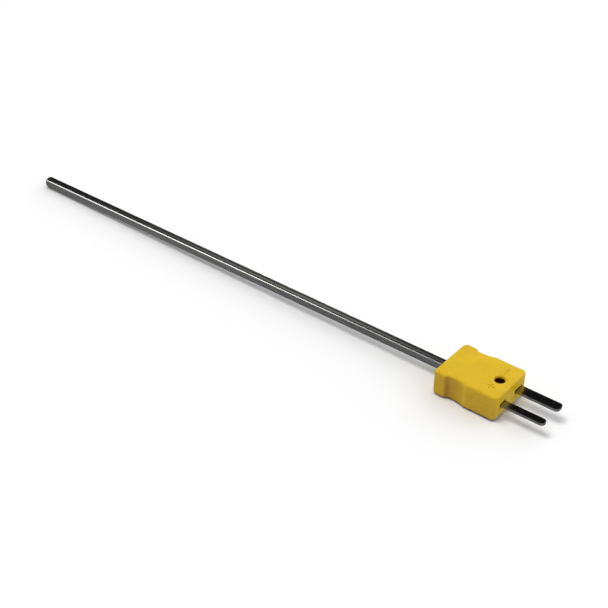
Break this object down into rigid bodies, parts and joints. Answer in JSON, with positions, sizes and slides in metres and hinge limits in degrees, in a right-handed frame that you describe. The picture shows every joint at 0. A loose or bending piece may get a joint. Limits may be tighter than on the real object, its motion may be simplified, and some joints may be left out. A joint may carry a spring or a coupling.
{
  "type": "thermocouple probe",
  "caption": "Mineral-insulated thermocouple probe: a thin straight metal sheath with a closed tip, fixed in a miniature two-blade plug with finger grips and a screwed cover.",
  "frame": {"origin": "on the sheath's axis, at the rear face of the plug where the sheath leaves it", "axes": "+X along the sheath's axis towards the ends of the blades, -X towards the sensing tip; +Z towards the plug's cover; the positive (narrow) blade is on -Y and the negative (wide) blade on +Y"},
  "size_m": [0.1832, 0.016, 0.0078],
  "materials": {
    "sheath_steel": "polished, bright drawn",
    "magnesia": "packed powder",
    "positive_alloy": "bright drawn wire",
    "negative_alloy": "bright drawn wire",
    "weld_bead": "oxidised weld",
    "epoxy": "cured resin",
    "brass": "turned",
    "positive_sleeve": "woven glass sleeve",
    "negative_sleeve": "woven glass sleeve",
    "plug_yellow": "moulded, satin",
    "positive_contact": "stamped and tumbled",
    "negative_contact": "stamped and tumbled",
    "plated_steel": "nickel plated",
    "black_steel": "dark brown oxide"
  },
  "bodies": {
    "root": {"sheath": "sheath_steel", "tip_cap": "sheath_steel", "mgo_insulation": "magnesia", "positive_conductor": "positive_alloy", "negative_conductor": "negative_alloy", "hot_junction": "weld_bead", "end_seal": "epoxy", "crimp_collar": "brass", "positive_sleeve": "positive_sleeve", "negative_sleeve": "negative_sleeve", "plug_base": "plug_yellow", "positive_blade": "positive_contact", "negative_blade": "negative_contact", "threaded_insert": "brass"},
    "cover": {"plug_cover": "plug_yellow"},
    "cover_screw_washer": {"cover_screw_washer": "black_steel"},
    "cover_screw": {"cover_screw": "black_steel"},
    "positive_clamp_plate": {"positive_clamp_plate": "plated_steel"},
    "positive_terminal_screw": {"positive_terminal_screw": "plated_steel"},
    "negative_clamp_plate": {"negative_clamp_plate": "plated_steel"},
    "negative_terminal_screw": {"negative_terminal_screw": "plated_steel"}
  },
  "joints": [
    {"name": "cover_lift", "type": "slide", "parent": "root", "child": "cover", "axis": [0, 0, 1], "range_m": [0, 0.015]},
    {"name": "cover_screw_travel", "type": "slide", "parent": "cover", "child": "cover_screw_washer", "axis": [0, 0, 1], "range_m": [0, 0.00263]},
    {"name": "cover_screw_turn", "type": "hinge", "parent": "cover_screw_washer", "child": "cover_screw", "pos_m": [0.0162, 0, 0], "axis": [0, 0, 1], "range_deg": [0, 2700]},
    {"name": "positive_clamp_travel", "type": "slide", "parent": "root", "child": "positive_clamp_plate", "axis": [0, 0, 1], "range_m": [0, 0.0008]},
    {"name": "positive_terminal_turn", "type": "hinge", "parent": "positive_clamp_plate", "child": "positive_terminal_screw", "pos_m": [0.0103, -0.00395, 0], "axis": [0, 0, 1], "range_deg": [0, 720]},
    {"name": "negative_clamp_travel", "type": "slide", "parent": "root", "child": "negative_clamp_plate", "axis": [0, 0, 1], "range_m": [0, 0.0008]},
    {"name": "negative_terminal_turn", "type": "hinge", "parent": "negative_clamp_plate", "child": "negative_terminal_screw", "pos_m": [0.0103, 0.00395, 0], "axis": [0, 0, 1], "range_deg": [0, 720]}
  ],
  "couplings": [
    {"joint": "cover_screw_turn", "follows": "cover_screw_travel", "rad_per_m": 17952},
    {"joint": "positive_terminal_turn", "follows": "positive_clamp_travel", "rad_per_m": 15708},
    {"joint": "negative_terminal_turn", "follows": "negative_clamp_travel", "rad_per_m": 15708}
  ]
}
